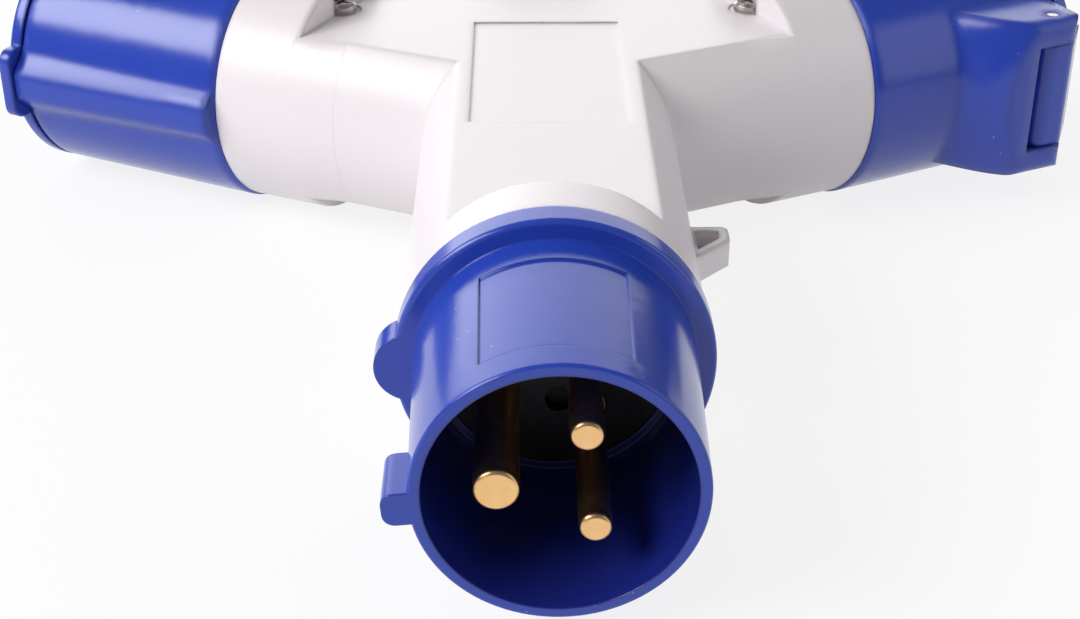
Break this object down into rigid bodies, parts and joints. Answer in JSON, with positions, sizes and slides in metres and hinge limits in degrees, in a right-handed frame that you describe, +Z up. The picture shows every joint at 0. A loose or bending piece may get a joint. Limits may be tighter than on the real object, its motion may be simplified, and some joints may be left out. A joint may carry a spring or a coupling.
{
  "type": "pin and sleeve splitter",
  "caption": "Blue and white power splitter: a round pin and sleeve plug on a flat-topped branching body that leads to three sockets with sprung hinged lids.",
  "frame": {"origin": "centre of the plug's mouth", "axes": "+Y from the plug's mouth along its axis to the body, +Z up through the body's flat top, +X towards the retaining lug"},
  "size_m": [0.2354, 0.2526, 0.0524],
  "materials": {
    "blue_plastic": "gloss",
    "white_plastic": "satin",
    "black_plastic": "satin",
    "brass": "turned",
    "steel": "plated",
    "rubber": "matte",
    "earth_insulation": "satin",
    "live_insulation": "satin",
    "neutral_insulation": "satin"
  },
  "bodies": {
    "splitter": {"body_upper_shell": "white_plastic", "body_lower_shell": "white_plastic", "housing_screws": "brass", "plug_shroud": "blue_plastic", "plug_pin_carrier": "black_plastic", "earth_pin": "brass", "live_pin": "brass", "neutral_pin": "brass", "plug_terminal_screws": "steel", "earth_wires": "earth_insulation", "live_wires": "live_insulation", "neutral_wires": "neutral_insulation", "left_sleeve": "blue_plastic", "left_contact_carrier": "black_plastic", "left_earth_contact": "brass", "left_live_contact": "brass", "left_neutral_contact": "brass", "left_terminal_screws": "steel", "left_hinge_pin": "brass", "left_hinge_spring": "steel", "right_sleeve": "blue_plastic", "right_contact_carrier": "black_plastic", "right_earth_contact": "brass", "right_live_contact": "brass", "right_neutral_contact": "brass", "right_terminal_screws": "steel", "right_hinge_pin": "brass", "right_hinge_spring": "steel", "front_sleeve": "blue_plastic", "front_contact_carrier": "black_plastic", "front_earth_contact": "brass", "front_live_contact": "brass", "front_neutral_contact": "brass", "front_terminal_screws": "steel", "front_hinge_pin": "brass", "front_hinge_spring": "steel"},
    "left_lid_assembly": {"left_lid": "blue_plastic", "left_lid_seal": "rubber"},
    "right_lid_assembly": {"right_lid": "blue_plastic", "right_lid_seal": "rubber"},
    "front_lid_assembly": {"front_lid": "blue_plastic", "front_lid_seal": "rubber"}
  },
  "joints": [
    {"name": "left_lid_hinge", "type": "hinge", "parent": "splitter", "child": "left_lid_assembly", "pos_m": [-0.08342, 0.20597, 0], "axis": [0, 0, -1], "range_deg": [0, 100], "stiffness_Nm_per_rad": 0.03, "springref_deg": -28.65},
    {"name": "right_lid_hinge", "type": "hinge", "parent": "splitter", "child": "right_lid_assembly", "pos_m": [0.10812, 0.15253, 0], "axis": [0, 0, -1], "range_deg": [0, 100], "stiffness_Nm_per_rad": 0.03, "springref_deg": -28.65},
    {"name": "front_lid_hinge", "type": "hinge", "parent": "splitter", "child": "front_lid_assembly", "pos_m": [0.02944, 0.2405, 0], "axis": [0, 0, -1], "range_deg": [0, 100], "stiffness_Nm_per_rad": 0.03, "springref_deg": -28.65}
  ]
}
